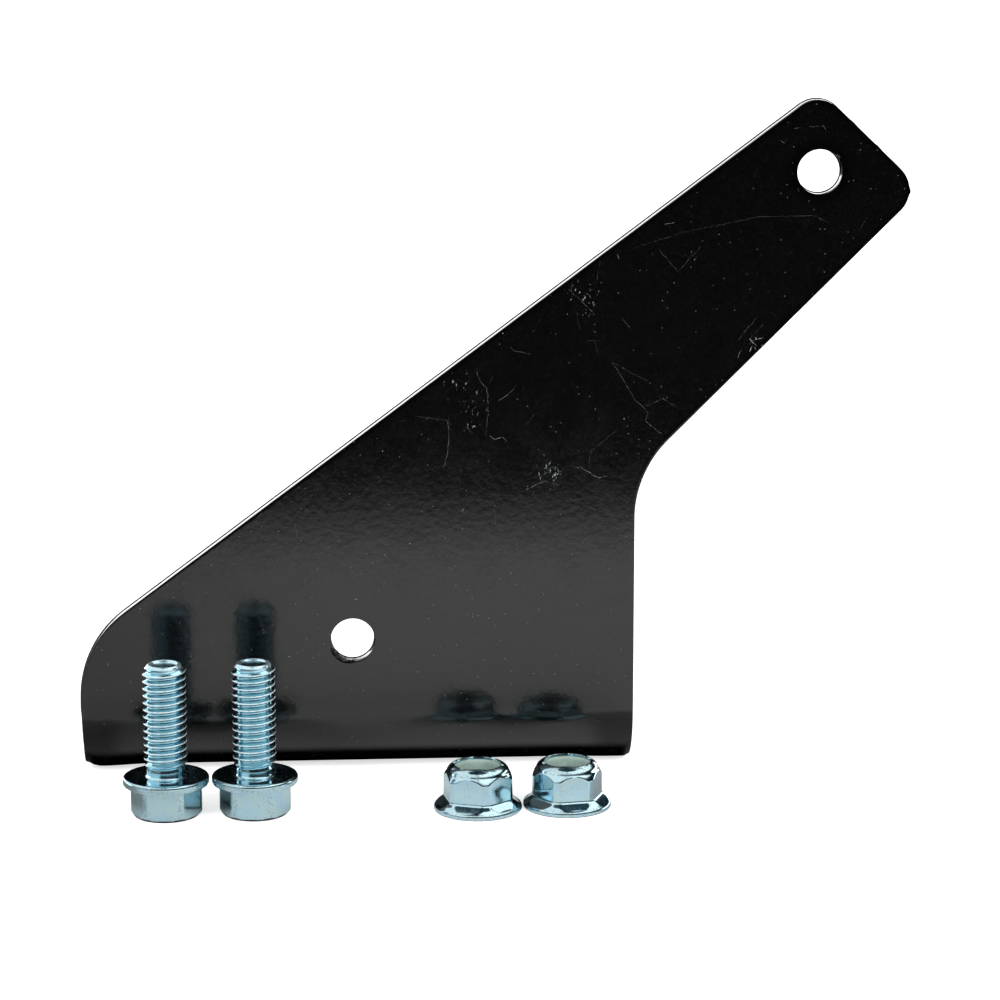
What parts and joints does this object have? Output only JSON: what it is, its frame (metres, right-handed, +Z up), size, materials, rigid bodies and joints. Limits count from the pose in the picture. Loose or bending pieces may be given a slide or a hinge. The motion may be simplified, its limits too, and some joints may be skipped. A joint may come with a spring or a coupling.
{
  "type": "atv plow mounting bracket with fasteners",
  "caption": "Bent sheet-steel ATV plow bracket with a long arm and a wide foot, with loose hex flange bolts and nylon-insert flange lock nuts standing in front of it.",
  "frame": {"origin": "centre of the flat underside of the bracket's rear flange, on the surface that everything stands on", "axes": "+X along the bracket's foot toward the arm, +Y backward from the upright over the flange, +Z up"},
  "size_m": [0.1864, 0.112, 0.1537],
  "materials": {
    "powder_coat": "glossy black powder coat on sheet steel, slight orange peel, fine scratches and dust",
    "zinc": "bright blue-white zinc plating on steel",
    "nylon": "translucent pale grey-green nylon"
  },
  "bodies": {
    "bracket": {"bracket_plate": "powder_coat"},
    "bolt_left": {"flange_bolt_left": "zinc"},
    "bolt_right": {"flange_bolt_right": "zinc"},
    "nut_left": {"lock_nut_left": "zinc", "nylon_insert_left": "nylon"},
    "nut_right": {"lock_nut_right": "zinc", "nylon_insert_right": "nylon"}
  },
  "joints": [
    {"name": "bolt_left_lift", "type": "slide", "parent": "bracket", "child": "bolt_left", "axis": [0, 0, 1], "range_m": [0, 0.04]},
    {"name": "bolt_right_lift", "type": "slide", "parent": "bracket", "child": "bolt_right", "axis": [0, 0, 1], "range_m": [0, 0.04]},
    {"name": "nut_left_lift", "type": "slide", "parent": "bracket", "child": "nut_left", "axis": [0, 0, 1], "range_m": [0, 0.04]},
    {"name": "nut_right_lift", "type": "slide", "parent": "bracket", "child": "nut_right", "axis": [0, 0, 1], "range_m": [0, 0.04]}
  ]
}
